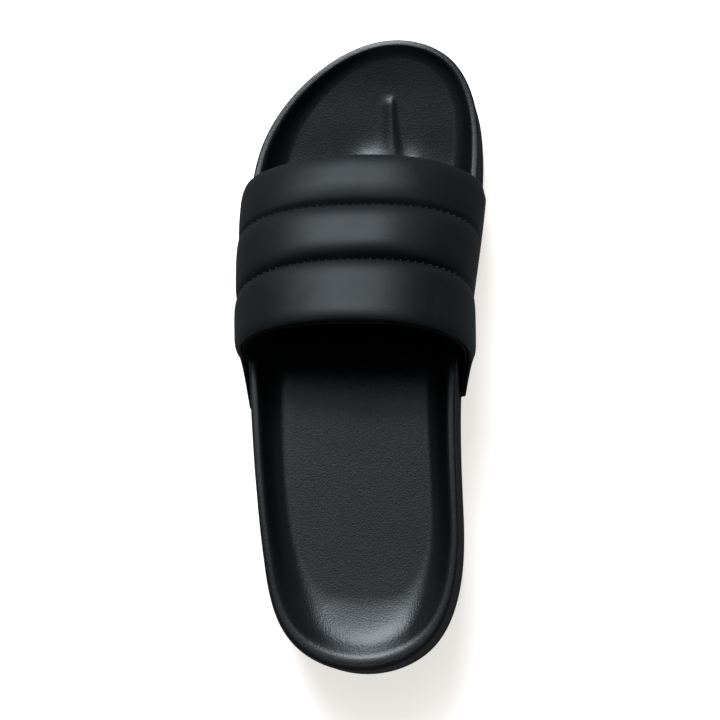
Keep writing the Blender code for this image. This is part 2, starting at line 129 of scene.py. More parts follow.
# Sole and footbed, in mm: across is + to the medial side, along runs from the back of the heel to the toe.
sole = {
    "length": 272.4,
    "outline": [  # across, along, from the toe tip round the medial side
        (12.0, 272.4), (34.4, 263.2), (43.8, 247.0), (47.0, 220.0), (42.6, 170.0), (38.4, 122.0),
        (39.3, 75.0), (39.4, 42.0), (27.2, 10.9), (0.0, 0.0), (-28.2, 11.0), (-41.6, 44.0),
        (-49.6, 105.0), (-54.6, 185.0), (-49.8, 226.0), (-29.0, 256.0)],
    "heelBack": 9,  # its place in the outline
    "halfStations": 240, "outlineSamples": 2000,
    "profile": [  # along, bed, rim
        (0.0, 28.6, 34.6), (22.0, 26.4, 34.1), (45.0, 25.2, 33.8), (110.0, 24.2, 33.0), (185.0, 19.4, 29.6),
        (212.0, 18.2, 28.9), (234.0, 22.1, 29.4), (254.0, 26.7, 31.2), (272.4, 32.5, 34.0)],
    "crest": 3.4, "wallWidth": 11.2,  # inset of the rim's top line, width of the basin's wall inside it
    "wallRise": [  # share of the wall's width, share of its height: a bowl that steepens up to the rim
        (0.0, 1.0), (0.09, 0.985), (0.15, 0.94), (0.25, 0.76), (0.40, 0.47), (0.60, 0.20), (0.80, 0.05),
        (1.0, 0.0), (1.2, 0.0)],
    "wallSpread": [  # along, width of the wall as a share of that at the sides
        (0.0, 2.00), (12.0, 1.78), (42.0, 1.15), (110.0, 1.02), (212.0, 0.98), (248.0, 0.66), (272.4, 0.44)],
    "dishReach": (8.0, 24.0), "dishShare": (1.0, 1.5),  # in from the crest, how far a wide wall opens out
    "rimOverhang": [(0.0, 1.9), (12.0, 1.4), (42.0, 0.4), (70.0, 0.0)],  # along, how far the rim stands out
    "shoulderSquare": [  # along, power of the rim's outer curve: 1 round, 0 square
        (0.0, 0.95), (12.0, 0.9), (45.0, 0.55), (80.0, 0.42)],
    "spineInset": 39.0,  # from toe tip and heel back, round the outline, to the ends of the bed's middle line
    "wallDraft": 1.3, "shoulderDrop": 2.5, "edgeRound": 1.2, "gap": 0.3,
    "outsole": 9.0, "bottomRound": 2.6, "toeSpring": 6.0, "springStart": 214.0,
    "heelBevel": 2.0, "bevelLength": 22.0, "archLift": 1.6, "archStart": 92.0, "archEnd": 150.0,
}


def soleCurve(name, at, value=1):  # smooth curve through one of the sole's tables
    rows = np.array(sole[name])
    return spline(rows[:, 0], rows[:, value], at)


def soleLine(name, at):  # straight from row to row
    rows = np.array(sole[name])
    return np.interp(at, rows[:, 0], rows[:, 1])


def outlinePoints():
    across, along = np.array(sole["outline"]).T
    chords = np.hypot(np.roll(across, -1) - across, np.roll(along, -1) - along)
    knots = np.concatenate([[0], np.cumsum(chords)[:-1]])
    period = chords.sum()
    middle = knots[sole["heelBack"]]
    halves = []
    for start, end in ((0, middle), (middle, period)):
        fine = np.linspace(start, end, sole["outlineSamples"])
        x = spline(knots, across, fine, period)
        y = spline(knots, along, fine, period)
        run = np.concatenate([[0], np.cumsum(np.hypot(np.diff(x), np.diff(y)))])
        even = np.linspace(0, run[-1], sole["halfStations"] + 1)[:-1]
        halves.append(np.column_stack([np.interp(even, run, x), np.interp(even, run, y)]))
    return np.concatenate(halves)


edge = outlinePoints()
tangent = np.roll(edge, -1, axis=0) - np.roll(edge, 1, axis=0)
inward = np.column_stack([tangent[:, 1], -tangent[:, 0]])
inward /= np.linalg.norm(inward, axis=1)[:, None]
medialEdge = edge[:sole["halfStations"] + 1][::-1]
lateralEdge = np.concatenate([edge[sole["halfStations"]:], edge[:1]])
outsoleLow = np.array(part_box("outsole")[0]) / mm
lastToRow = np.array([outsoleLow[0] - edge[:, 0].min(), outsoleLow[1] - edge[:, 1].min(), 0.0])


def edgeAcross(along, medial):
    side = medialEdge if medial else lateralEdge
    return np.interp(along, side[:, 1], side[:, 0])


def insetRing(inset, height):
    flat = edge + inward * np.broadcast_to(inset, len(edge))[:, None]
    return np.column_stack([flat, np.broadcast_to(height, len(edge))])


def toeSpring(along):
    share = np.clip(along - sole["springStart"], 0, None) / (sole["length"] - sole["springStart"])
    return sole["toeSpring"] * share ** 2


def underside(along):
    bevel = sole["heelBevel"] * np.clip(1 - along / sole["bevelLength"], 0, 1) ** 2
    share = np.clip((along - sole["archStart"]) / (sole["archEnd"] - sole["archStart"]), 0, 1)
    return bevel + sole["archLift"] * np.sin(math.pi * share) ** 2 + toeSpring(along)


def parting(along):
    return sole["outsole"] + toeSpring(along)


def rimHeight(along):
    return soleCurve("profile", along, 2)


# Grip bar across the toes and the ridge that runs forward from it between the first two toes, in mm.
toeRelief = {
    "barAlong": 216.0, "barHeight": 3.8, "barSpread": 6.4, "barCentre": 4.0,
    "barBow": (0.032, 0.016), "barLevel": (8.0, 12.0), "barReach": 28.0,  # pairs: lateral and medial half
    "barGap": 0.9, "gapSpread": 5.9,  # the bar sinks beside the ridge
    "root": (8.0, 222.0), "tip": (7.0, 249.4), "height": 1.0, "rootRise": 0.9, "nose": 5.4,
    "lateralSpread": (2.2, 4.2), "medialSpread": (0.9, 3.0), "flare": 2.4,  # at the tip, at the root, power
}


def bedHeight(across, along):
    t = toeRelief
    share = np.clip((along - t["root"][1]) / (t["tip"][1] - t["root"][1]), 0, 1)
    side = across - between((t["root"][0], t["tip"][0]), share)
    flare = (1 - share) ** t["flare"]
    spread = np.where(side < 0, between(t["lateralSpread"], flare), between(t["medialSpread"], flare))
    nose = 1 - smoothStep(along, t["tip"][1] - t["nose"], t["tip"][1])
    start = smoothStep(along, t["barAlong"] - t["barSpread"], t["root"][1])
    ridge = t["height"] * (1 + t["rootRise"] * flare) * bell(side, spread) * nose * start

    off = across - t["barCentre"]
    bow = np.where(off < 0, *t["barBow"])
    ends = 1 - smoothStep(np.abs(off), np.where(off < 0, *t["barLevel"]), t["barReach"])
    bar = t["barHeight"] * ends * bell(along - t["barAlong"] + bow * off ** 2, t["barSpread"])
    bar = bar * (1 - t["barGap"] * bell(side, t["gapSpread"]))
    return soleCurve("profile", along) + bar + ridge


basinSampling = {"refine": 4, "batch": 2000}  # outline points per station, bed points measured at a time


def basinHeight(across, along):  # bed and wall together, from the distance to the outline
    count = len(edge)
    closed = np.vstack([edge, edge[:1]])
    at = np.arange(basinSampling["refine"] * count) / basinSampling["refine"]
    fine = np.column_stack([np.interp(at, np.arange(count + 1), closed[:, axis]) for axis in (0, 1)])
    nearest = np.empty(len(across), int)
    distance = np.empty(len(across))
    for part in np.array_split(np.arange(len(across)), len(across) // basinSampling["batch"] + 1):
        gaps = np.hypot(across[part, None] - fine[:, 0], along[part, None] - fine[:, 1])
        nearest[part] = gaps.argmin(axis=1)
        distance[part] = gaps.min(axis=1)
    rimAlong = fine[nearest, 1]
    fromCrest = distance - sole["crest"] + soleLine("rimOverhang", rimAlong)
    spread = soleCurve("wallSpread", rimAlong)
    opened = between(sole["dishShare"], smoothStep(fromCrest, *sole["dishReach"]))
    spread = np.minimum(spread, 1) + np.maximum(spread - 1, 0) * opened
    share = np.clip(fromCrest / (sole["wallWidth"] * spread), 0, 1)
    rise = np.clip(soleCurve("wallRise", share), 0, 1)
    bed = bedHeight(across, along)
    return bed + (rimHeight(rimAlong) - bed) * rise


def ringFaces(ringCount, size):
    here = np.arange(size)
    after = np.roll(here, -1)
    rows = []
    for low in np.arange(ringCount - 1) * size:
        rows.append(np.column_stack([low + here, low + after, low + size + after, low + size + here]))
    return np.concatenate(rows).tolist()


def tubeFaces(sections, size):  # rings closed by a face at both ends
    faces = ringFaces(sections, size)
    return [*faces, list(range(size)), list(range((sections - 1) * size, sections * size))]


def ladder(ring):  # closes a ring with rungs from its medial to its lateral stations
    half = len(ring) // 2
    rungs = [(ring[i], ring[-i]) for i in range(1, half)]
    rungs = [(ring[0], ring[0]), *rungs, (ring[half], ring[half])]
    faces = []
    for near, far in zip(rungs, rungs[1:]):
        faces.append(list(dict.fromkeys([near[0], near[1], far[1], far[0]])))
    return faces


def cutAway(piece, points, faces):  # Boolean difference with a closed cutter, applied
    cutter = newPiece(piece.name + "Cutter", points, faces, [])
    cut = piece.modifiers.new("cut", "BOOLEAN")
    cut.operation = "DIFFERENCE"
    cut.solver = "EXACT"
    cut.object = cutter
    bpy.context.view_layer.update()
    graph = bpy.context.evaluated_depsgraph_get()
    result = bpy.data.meshes.new_from_object(piece.evaluated_get(graph))
    piece.modifiers.clear()
    piece.data = result
    bpy.data.objects.remove(cutter)


# Strap, in mm and shares: the lining's shape first, then the padding above it.
strap = {
    "front": 209.3, "rear": 130.0, "frontShift": -4.0, "rearShift": -1.4,
    "rearFlare": (-18.0, -12.0), "flarePower": 1.6,  # of the rear edge down to the sole, lateral and medial
    "medialLean": 2.7, "leanStart": 0.55,  # the medial side stands off towards the rear, from that share on
    "crown": (51.8, 76.2), "crownAcross": 0.5,  # height at the front and rear edges
    "archPower": (2.0, 2.5), "powerReach": 0.45,  # of the arch at the front edge, and from that share on
    "seams": [  # share front to rear: at the crown, on the lateral side
        (0.0, 0.0), (0.302, 0.350), (0.631, 0.730), (1.0, 1.0)],
    "channels": [(4.0, 0.10), (4.4, 0.18), (4.2, 0.30)],  # padding at the crown, share at the spring line
    "frontPower": (3.0, 3.8), "rearPower": (2.3, 4.4),  # of the slopes behind and ahead of the seams
    "fade": 2.4,  # power of the padding's fall down the sides
    "seamThickness": 3.2, "pinch": 0.9, "pinchReach": 1.2, "endThickness": 1.8,
    "frontRoll": (10.0, 0.68), "rearRoll": (5.5, 0.36),  # in from the free edge, share of the thickness lost
    "rearLift": 3.2, "liftReach": 6.0,  # the rear edge's inner face rolls up too
    "flange": 10.5, "turn": 0.5, "pocketClear": 0.6,
    "lining": 0.85, "liningBase": 0.01, "liningClear": 0.05,  # thickness, room under it and above it
    "liningEdge": 0.4,  # its cut edges are pressed thin, to that share
    "lip": 0.5, "liningCut": (0.084, 0.196),  # the cut in m, front to rear and end to end
    "channelRows": 44, "archSteps": 190, "wallSteps": 22, "liningRows": 40,
    "flangeSteps": 5, "turnShares": (0.33, 0.67),
}
strapWidth = strap["front"] - strap["rear"]
onFlange, onTurn, onWall, onArch = range(4)


def strapStations():  # arrays of side, zone and share from the lateral flange to the medial one
    side = [(onFlange, s) for s in np.linspace(0, 1, strap["flangeSteps"])]
    side += [(onTurn, s) for s in strap["turnShares"]]
    side += [(onWall, s) for s in np.linspace(1, 0, strap["wallSteps"] + 1)[:-1]]
    arch = [(a < 90, onArch, math.radians(a)) for a in np.linspace(180, 0, strap["archSteps"] + 1)]
    rows = [(False, *s) for s in side] + arch + [(True, *s) for s in reversed(side)]
    return [np.array(part) for part in zip(*rows)]


medialSide, zone, zoneShare = strapStations()
heightShare = np.where(zone == onArch, np.sin(zoneShare), 0.0)
wallShare = np.where(zone == onArch, 0.0, np.where(zone == onWall, zoneShare, 1.0))
sideways = np.where(medialSide, 0.0, 1 - heightShare)


def liningGrid(frontToRear):  # points of the inner face for an array of rows by stations
    lateralFlare, medialFlare = strap["rearFlare"]
    flare = np.where(medialSide, medialFlare, lateralFlare) * wallShare ** strap["flarePower"]
    frontEdge = strap["front"] + strap["frontShift"] * (1 - heightShare)
    rearEdge = strap["rear"] + strap["rearShift"] * (1 - heightShare) + flare
    y = between((frontEdge, rearEdge), frontToRear)
    lean = strap["medialLean"] * smoothStep(frontToRear, strap["leanStart"], 1) * (1 - wallShare)
    outline = np.where(medialSide, edgeAcross(y, True) + lean, edgeAcross(y, False))

    top = parting(y) + sole["gap"] / 2 + strap["endThickness"]
    spring = rimHeight(y) - sole["shoulderDrop"]
    crown = between(strap["crown"], frontToRear)
    foot = sole["wallDraft"] - sole["gap"]
    halfSpan = np.abs(outline - strap["crownAcross"]) - foot
    power = between(strap["archPower"], smoothStep(frontToRear, 0, strap["powerReach"]))
    turnAngle = zoneShare * math.pi / 2
    archAngle = np.where(zone == onArch, np.clip(zoneShare, 0, math.pi), 0.0)
    inset = np.choose(zone, [
        between((strap["flange"], strap["turn"] - sole["gap"]), zoneShare),
        strap["turn"] * (1 - np.sin(turnAngle)) - sole["gap"],
        sole["wallDraft"] * (1 - zoneShare) - sole["gap"],
        foot + halfSpan * (1 - np.abs(np.cos(archAngle)) ** (2 / power))])
    z = np.choose(zone, [
        top,
        top + strap["turn"] * (1 - np.cos(turnAngle)),
        between((spring, top + strap["turn"]), zoneShare),
        between((spring, crown), np.sin(archAngle) ** (2 / power))])
    return np.stack([outline + np.where(medialSide, -1, 1) * inset, y, z], axis=2)


def edgeRoll(fromEdge, reach, lost):  # share of the thickness left where a free edge is rolled over
    near = np.clip(1 - fromEdge / reach, 0, 1)
    return 1 - lost * (1 - np.sqrt(1 - near ** 2)) * (1 - wallShare)


def rearLift(frontToRear):  # rise of the inner face at the rear edge, fading down the sides
    fromEdge = np.clip(1 - (1 - frontToRear) * strapWidth / strap["liftReach"], 0, 1)
    return strap["rearLift"] * fromEdge ** 2 * heightShare


def outwards(grid):
    normal = np.cross(np.gradient(grid, axis=0), np.gradient(grid, axis=1))
    return normal / np.linalg.norm(normal, axis=2)[:, :, None]


def closedSlab(lower, upper):  # two grids of the same size, joined all round
    rows, stations = lower.shape[:2]
    points = np.concatenate([lower.reshape(-1, 3), upper.reshape(-1, 3)])
    index = np.arange(rows * stations).reshape(rows, stations)
    sheet = np.stack([index[:-1, :-1], index[:-1, 1:], index[1:, 1:], index[1:, :-1]], axis=2).reshape(-1, 4)
    faces = sheet.tolist() + (sheet + rows * stations).tolist()
    border = [*index[0, :-1], *index[:-1, -1], *index[-1, :0:-1], *index[:0:-1, 0]]
    for a, b in zip(border, border[1:] + border[:1]):
        faces.append([a, b, b + rows * stations, a + rows * stations])
    return points, faces


def repeats(size):  # texture scale for a pattern of that size in mm
    return 1 / (size * mm)


wavePeriod = 0.314  # m, of the wave texture at scale 1


# Moulded EVA foam, black: cast against a textured mould, so a fine leather-like pebble with a satin gloss.
bedFoam = {
    "colour": "#0c0d0f", "lightColour": "#121416", "roughness": (0.25, 0.37), "ior": 1.48,
    "pebble": 0.7, "fine": 0.28, "fineShare": 0.35, "cloud": 18.0, "depth": 0.05,
}


def makeBedFoam():
    material, tree = newMaterial("mouldedEvaFoamGrain")
    look = bedFoam
    place = addNode(tree, "ShaderNodeTexCoord").outputs["Object"]
    pebble = addNode(tree, "ShaderNodeTexVoronoi", {
        "feature": "SMOOTH_F1", "Scale": repeats(look["pebble"]), "Smoothness": 0.6, "Randomness": 0.9,
    }, {"Vector": place})
    fine = addNode(tree, "ShaderNodeTexNoise", {
        "Scale": repeats(look["fine"]), "Detail": 2.0, "Roughness": 0.6}, {"Vector": place})
    cloud = addNode(tree, "ShaderNodeTexNoise", {
        "Scale": repeats(look["cloud"]), "Detail": 3.0, "Roughness": 0.55}, {"Vector": place})
    tone = addNode(tree, "ShaderNodeMix", {
        "data_type": "RGBA", "A": hexColour(look["colour"]), "B": hexColour(look["lightColour"]),
    }, {"Factor": cloud.outputs["Fac"]})
    gloss = addNode(tree, "ShaderNodeMapRange", {
        "To Min": look["roughness"][0], "To Max": look["roughness"][1]}, {"Value": cloud.outputs["Fac"]})
    relief = addNode(tree, "ShaderNodeMath", {"operation": "MULTIPLY_ADD", 1: look["fineShare"]}, {
        0: fine.outputs["Fac"], 2: pebble.outputs["Distance"]})
    bump = addNode(tree, "ShaderNodeBump", {"Strength": 1.0, "Distance": look["depth"] * mm}, {
        "Height": relief.outputs[0]})
    shader = addNode(tree, "ShaderNodeBsdfPrincipled", {"IOR": look["ior"]}, {
        "Base Color": tone.outputs["Result"], "Roughness": gloss.outputs["Result"],
        "Normal": bump.outputs["Normal"]})
    addNode(tree, "ShaderNodeOutputMaterial", links={"Surface": shader.outputs["BSDF"]})
    return material


# The same foam down the side of the sole: plain mould wall, so matt with a fine skin. Its colour is painted
# lighter than the bed foam's, painted light that brightens the walls, which get no bounce from the floor.
sideFoam = {
    "colour": "#131415", "roughness": (0.60, 0.72), "ior": 1.48, "specular": 0.22, "skin": 0.6, "depth": 0.03}


def makeSideFoam():
    material, tree = newMaterial("mouldedEvaFoamSide")
    look = sideFoam
    place = addNode(tree, "ShaderNodeTexCoord").outputs["Object"]
    skin = addNode(tree, "ShaderNodeTexNoise", {
        "Scale": repeats(look["skin"]), "Detail": 3.0, "Roughness": 0.6}, {"Vector": place})
    gloss = addNode(tree, "ShaderNodeMapRange", {
        "To Min": look["roughness"][0], "To Max": look["roughness"][1]}, {"Value": skin.outputs["Fac"]})
    bump = addNode(tree, "ShaderNodeBump", {"Strength": 1.0, "Distance": look["depth"] * mm}, {
        "Height": skin.outputs["Fac"]})
    shader = addNode(tree, "ShaderNodeBsdfPrincipled", {
        "Base Color": hexColour(look["colour"]), "IOR": look["ior"], "Specular IOR Level": look["specular"],
    }, {"Roughness": gloss.outputs["Result"], "Normal": bump.outputs["Normal"]})
    addNode(tree, "ShaderNodeOutputMaterial", links={"Surface": shader.outputs["BSDF"]})
    return material


# Polyurethane-coated cloth, black: a matt finish with a very fine grain, so soft wide highlights.
coatedCloth = {
    "colour": "#0f1113", "lightColour": "#141719", "roughness": (0.46, 0.55), "ior": 1.5, "specular": 0.27,
    "grain": 0.55, "fine": 0.22, "fineShare": 0.4, "cloud": 14.0, "depth": 0.025,
}


def makeCoatedCloth():
    material, tree = newMaterial("polyurethaneCoatedCloth")
    look = coatedCloth
    place = addNode(tree, "ShaderNodeTexCoord").outputs["Object"]
    grain = addNode(tree, "ShaderNodeTexVoronoi", {
        "feature": "SMOOTH_F1", "Scale": repeats(look["grain"]), "Smoothness": 0.7}, {"Vector": place})
    fine = addNode(tree, "ShaderNodeTexNoise", {
        "Scale": repeats(look["fine"]), "Detail": 2.0}, {"Vector": place})
    cloud = addNode(tree, "ShaderNodeTexNoise", {
        "Scale": repeats(look["cloud"]), "Detail": 3.0, "Roughness": 0.5}, {"Vector": place})
    tone = addNode(tree, "ShaderNodeMix", {
        "data_type": "RGBA", "A": hexColour(look["colour"]), "B": hexColour(look["lightColour"]),
    }, {"Factor": cloud.outputs["Fac"]})
    gloss = addNode(tree, "ShaderNodeMapRange", {
        "To Min": look["roughness"][0], "To Max": look["roughness"][1]}, {"Value": cloud.outputs["Fac"]})
    relief = addNode(tree, "ShaderNodeMath", {"operation": "MULTIPLY_ADD", 1: look["fineShare"]}, {
        0: fine.outputs["Fac"], 2: grain.outputs["Distance"]})
    bump = addNode(tree, "ShaderNodeBump", {"Strength": 1.0, "Distance": look["depth"] * mm}, {
        "Height": relief.outputs[0]})
    shader = addNode(tree, "ShaderNodeBsdfPrincipled", {
        "IOR": look["ior"], "Specular IOR Level": look["specular"],
    }, {"Base Color": tone.outputs["Result"], "Roughness": gloss.outputs["Result"],
        "Normal": bump.outputs["Normal"]})
    addNode(tree, "ShaderNodeOutputMaterial", links={"Surface": shader.outputs["BSDF"]})
    return material


# Knitted polyester lining, black: fine ribs of loops, dull.
knitLining = {"colour": "#0b0c0c", "roughness": 0.85, "wale": 0.9, "depth": 0.08}


def makeKnitLining():
    material, tree = newMaterial("knittedPolyesterLining")
    look = knitLining
    place = addNode(tree, "ShaderNodeTexCoord").outputs["Object"]
    wales = addNode(tree, "ShaderNodeTexWave", {
        "wave_type": "BANDS", "bands_direction": "X", "Scale": wavePeriod * repeats(look["wale"]),
        "Distortion": 0.6, "Detail": 1.0}, {"Vector": place})
    bump = addNode(tree, "ShaderNodeBump", {"Strength": 1.0, "Distance": look["depth"] * mm}, {
        "Height": wales.outputs["Fac"]})
    shader = addNode(tree, "ShaderNodeBsdfPrincipled", {
        "Base Color": hexColour(look["colour"]), "Roughness": look["roughness"],
    }, {"Normal": bump.outputs["Normal"]})
    addNode(tree, "ShaderNodeOutputMaterial", links={"Surface": shader.outputs["BSDF"]})
    return material


# Bonded polyester sewing thread, black: twisted filaments with a slight silk gloss.
sewingThread = {"colour": "#111314", "roughness": 0.55, "twist": 0.35, "depth": 0.04}


def makeSewingThread():
    material, tree = newMaterial("bondedPolyesterThread")
    look = sewingThread
    place = addNode(tree, "ShaderNodeTexCoord").outputs["Object"]
    twist = addNode(tree, "ShaderNodeTexWave", {
        "wave_type": "BANDS", "bands_direction": "DIAGONAL", "Scale": wavePeriod * repeats(look["twist"]),
    }, {"Vector": place})
    bump = addNode(tree, "ShaderNodeBump", {"Strength": 0.8, "Distance": look["depth"] * mm}, {
        "Height": twist.outputs["Fac"]})
    shader = addNode(tree, "ShaderNodeBsdfPrincipled", {
        "Base Color": hexColour(look["colour"]), "Roughness": look["roughness"],
    }, {"Normal": bump.outputs["Normal"]})
    addNode(tree, "ShaderNodeOutputMaterial", links={"Surface": shader.outputs["BSDF"]})
    return material


# Denser EVA tread, black: moulded with a dull fine-blasted face.
treadFoam = {"colour": "#0b0c0c", "roughness": (0.70, 0.84), "specular": 0.3, "blast": 0.5, "depth": 0.05}


def makeTreadFoam():
    material, tree = newMaterial("denseEvaTread")
    look = treadFoam
    place = addNode(tree, "ShaderNodeTexCoord").outputs["Object"]
    blast = addNode(tree, "ShaderNodeTexNoise", {
        "Scale": repeats(look["blast"]), "Detail": 3.0, "Roughness": 0.65}, {"Vector": place})
    gloss = addNode(tree, "ShaderNodeMapRange", {
        "To Min": look["roughness"][0], "To Max": look["roughness"][1]}, {"Value": blast.outputs["Fac"]})
    bump = addNode(tree, "ShaderNodeBump", {"Strength": 1.0, "Distance": look["depth"] * mm}, {
        "Height": blast.outputs["Fac"]})
    shader = addNode(tree, "ShaderNodeBsdfPrincipled", {
        "Base Color": hexColour(look["colour"]), "Specular IOR Level": look["specular"],
    }, {"Roughness": gloss.outputs["Result"], "Normal": bump.outputs["Normal"]})
    addNode(tree, "ShaderNodeOutputMaterial", links={"Surface": shader.outputs["BSDF"]})
    return material


# Footbed: side, rounded rim, basin wall and bed from one stack of rings.
footbedLook = {
    "roundSteps": 5, "sideSteps": 8, "rimSteps": 9,
    "bedRings": 84, "bedReach": 0.985, "bedPower": 1.25,  # rings lie closer together near the rim
    "slotStations": 40, "slotPast": 4.0,  # mm that the slot's cutter stands out of the foam
    "sharpAngle": 40.0,
}


def slotCutter(medial):  # room under the edge for the lasted end of the strap
    inwards = -1 if medial else 1
    rear = strap["rear"] + strap["rearShift"] + strap["rearFlare"][medial] - strap["pocketClear"]
    front = strap["front"] + strap["frontShift"] + strap["pocketClear"]
    corners = []
    for y in np.linspace(rear, front, footbedLook["slotStations"]):
        x = edgeAcross(y, medial)
        inner = x + inwards * (strap["flange"] + strap["pocketClear"])
        outer = x - inwards * footbedLook["slotPast"]
        bottom = parting(y) - footbedLook["slotPast"]
        ceiling = parting(y) + sole["gap"] / 2 + strap["endThickness"] + sole["gap"]
        corners += [(inner, y, bottom), (inner, y, ceiling), (outer, y, ceiling), (outer, y, bottom)]
    return corners, tubeFaces(footbedLook["slotStations"], 4)


def makeFootbed():
    along = edge[:, 1]
    low = parting(along) + sole["gap"] / 2
    top = rimHeight(along) - sole["shoulderDrop"]
    radius = sole["edgeRound"]
    overhang = soleLine("rimOverhang", along)
    draft = sole["wallDraft"] - overhang
    crest = sole["crest"] - overhang
    square = soleLine("shoulderSquare", along)
    rings = []
    for a in np.linspace(0, math.pi / 2, footbedLook["roundSteps"]):
        rings.append(insetRing(radius * (1 - math.sin(a)), low + radius * (1 - math.cos(a))))
    for s in np.linspace(0, 1, footbedLook["sideSteps"] + 1)[1:]:
        rings.append(insetRing(draft * s, between((low + radius, top), s)))
    for a in np.linspace(0, math.pi / 2, footbedLook["rimSteps"] + 1)[1:]:
        out = np.clip(math.cos(a), 0, 1) ** square
        rise = math.sin(a) ** square
        rings.append(insetRing(between((crest, draft), out), top + sole["shoulderDrop"] * rise))
    sideRings = footbedLook["roundSteps"] + footbedLook["sideSteps"] + 1

    crestRing = rings[-1][:, :2]
    size = len(edge)
    skipped = round(sole["spineInset"] / np.hypot(*(edge[1] - edge[0])))
    fromToe = np.minimum(np.arange(size), size - np.arange(size))
    station = np.clip(fromToe, skipped, sole["halfStations"] - skipped)
    spine = (crestRing[station] + crestRing[size - station]) / 2
    shares = np.linspace(0, 1, footbedLook["bedRings"] + 1)[1:] ** footbedLook["bedPower"]
    for s in shares * footbedLook["bedReach"]:
        flat = between((crestRing, spine), s)
        rings.append(np.column_stack([flat, basinHeight(flat[:, 0], flat[:, 1])]))

    faces = ringFaces(len(rings), size)
    faces += ladder(list(range((len(rings) - 1) * size, len(rings) * size)))
    bedFaces = len(faces)
    faces += ladder(list(range(size)))
    piece = newPiece("footbedFoam", np.concatenate(rings), faces, [makeBedFoam(), makeSideFoam()])
    for polygon in piece.data.polygons:
        if polygon.index < sideRings * size or polygon.index >= bedFaces:
            polygon.material_index = 1
    for medial in (False, True):
        cutAway(piece, *slotCutter(medial))
    piece.data.set_sharp_from_angle(angle=math.radians(footbedLook["sharpAngle"]))
    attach(piece, "root")
    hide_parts("footbed")
    print("footbed made:", len(piece.data.polygons), "faces")


# Outsole: rounded lower edge and straight tread grooves with rounded ends.
outsoleLook = {
    "roundSteps": 7, "sideSteps": 4, "sharpAngle": 35.0,
    "grooveWidth": 2.6, "grooveDepth": 1.6, "grooveMargin": 9.0, "groovePast": 2.0, "grooveSteps": 9,
    "fields": [(24.0, 11.0, 6), (158.0, 11.0, 6)],  # first along, pitch, count
}


def grooveCutters():
    radius = outsoleLook["grooveWidth"] / 2
    margin = outsoleLook["grooveMargin"] + radius
    angles = np.linspace(0, math.pi, outsoleLook["grooveSteps"])
    points = []
    faces = []
    for first, pitch, count in outsoleLook["fields"]:
        for y in first + pitch * np.arange(count):
            left = edgeAcross(y, False) + margin
            right = edgeAcross(y, True) - margin
            loop = [(right + radius * math.sin(a), y + radius * math.cos(a)) for a in angles]
            loop += [(left - radius * math.sin(a), y - radius * math.cos(a)) for a in angles]
            start = len(points)
            for height in (-outsoleLook["groovePast"], outsoleLook["grooveDepth"]):
                points += [(*corner, height) for corner in loop]
            faces += [[start + i for i in face] for face in tubeFaces(2, len(loop))]
    return points, faces


def makeOutsole():
    along = edge[:, 1]
    low = underside(along)
    high = parting(along) - sole["gap"] / 2
    radius = sole["bottomRound"]
    upperRadius = sole["edgeRound"]
    rings = []
    for a in np.linspace(0, math.pi / 2, outsoleLook["roundSteps"]):
        rings.append(insetRing(radius * (1 - math.sin(a)), low + radius * (1 - math.cos(a))))
    for s in np.linspace(0, 1, outsoleLook["sideSteps"] + 1)[1:]:
        rings.append(insetRing(0.0, between((low + radius, high - upperRadius), s)))
    for a in np.linspace(0, math.pi / 2, outsoleLook["roundSteps"])[1:]:
        rings.append(insetRing(upperRadius * (1 - math.cos(a)), high - upperRadius * (1 - math.sin(a))))
    size = len(edge)
    faces = ringFaces(len(rings), size)
    faces += ladder(list(range(size)))
    faces += ladder(list(range((len(rings) - 1) * size, len(rings) * size)))
    piece = newPiece("outsoleTread", np.concatenate(rings), faces, [makeTreadFoam()])
    cutAway(piece, *grooveCutters())
    piece.data.set_sharp_from_angle(angle=math.radians(outsoleLook["sharpAngle"]))
    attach(piece, "root")
    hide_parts("outsole")
    print("outsole made:", len(piece.data.polygons), "faces")


# Padded cover: three channels between pinched seams, gathered a little by each stitch.
coverLook = {
    "stitchPitch": 2.92, "stitchRow": 5,  # mm along the lining; rows behind the seam
    "pucker": 0.3, "puckerReach": 1.1, "puckerFade": 1.6,  # of a gather, and how late it fades down the sides
    "swell": 0.18,  # slow unevenness of the padding
    "swellWaves": [(1.0, 9.3, 1.7, 0.0), (0.6, 4.9, 2.9, 1.1)],  # share, mm a radian, turn per channel, start
    "creases": [  # across, along at both ends, half width, depth: soft troughs pressed into the padding
        (30.0, 152.0, 29.5, 134.0, 1.8, 0.65),
        (34.5, 148.0, 35.0, 130.0, 1.5, 0.50),
        (37.5, 178.0, 38.5, 166.0, 1.6, 0.30),
        (-18.0, 148.0, -30.0, 138.0, 2.6, 0.12),
        (-36.0, 180.0, -44.0, 170.0, 2.2, 0.25),
        (22.0, 203.0, 30.0, 193.0, 2.4, 0.22)],
    "creaseEnds": (0.12, 0.88),  # half turns of a sine along a crease, so it starts and ends shallow
}


def channelRows():  # share of the way through its channel, and the channel, for each row from front to rear
    count = len(strap["channels"])
    steps = np.arange(1, strap["channelRows"] + 1) / strap["channelRows"]
    within = np.append(0.0, np.tile(0.5 - 0.5 * np.cos(math.pi * steps), count))
    channel = np.append(0, np.repeat(np.arange(count), strap["channelRows"]))
    return within[:, None], channel


